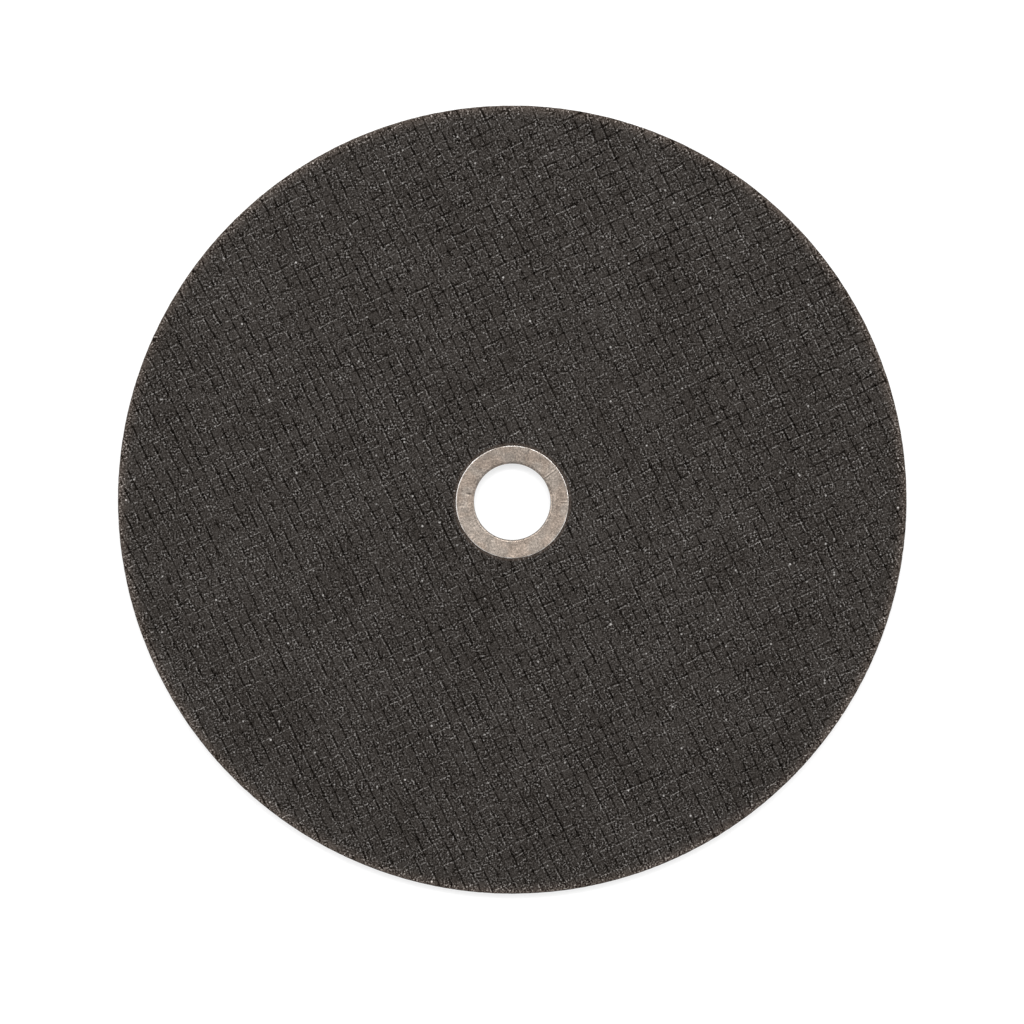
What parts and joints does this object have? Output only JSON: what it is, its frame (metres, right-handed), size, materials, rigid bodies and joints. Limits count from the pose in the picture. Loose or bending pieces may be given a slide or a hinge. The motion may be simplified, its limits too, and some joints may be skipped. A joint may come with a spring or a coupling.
{
  "type": "cut-off wheel",
  "caption": "Flat round cut-off wheel: a thin bonded abrasive disc faced with woven glass cloth, with a pressed steel ring lining its central arbor hole.",
  "frame": {"origin": "on the wheel's axis, in the plane of its back face, which it lies on", "axes": "+Z along the wheel's axis, out of the face with the ring's flange; +Y is up and +X is right as the picture shows that face"},
  "size_m": [0.2286, 0.2286, 0.0033],
  "materials": {
    "bonded_abrasive": "matte",
    "ring_steel": "satin"
  },
  "bodies": {
    "root": {"abrasive_disc": "bonded_abrasive", "arbor_ring": "ring_steel"}
  },
  "joints": []
}
